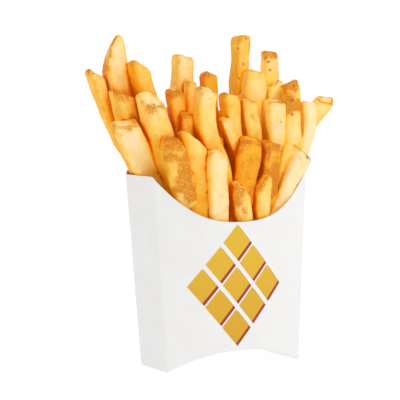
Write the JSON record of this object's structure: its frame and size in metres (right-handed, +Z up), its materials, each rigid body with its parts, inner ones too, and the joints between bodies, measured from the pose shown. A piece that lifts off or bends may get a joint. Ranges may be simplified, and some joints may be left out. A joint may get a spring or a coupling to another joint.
{
  "type": "french fries in a carton",
  "caption": "Golden french fries standing upright in a slim white card carton with a scooped front, a rounded back and a pushed-up arched base",
  "frame": {"origin": "centre of the bounding box at the level the carton stands on", "axes": "+Z up along the fries, front of the carton (the scooped panel) faces -Y, +X to the right seen from the front"},
  "size_m": [0.1224, 0.0538, 0.1479],
  "materials": {
    "white_card": "smooth white coated card, satin, with a plain cream cut edge and a printed patch on the front",
    "fried_potato": "fried potato, pale to golden and slightly oily, darker at cut ends and on skin"
  },
  "bodies": {
    "root": {"carton": "white_card", "fries": "fried_potato"}
  },
  "joints": []
}
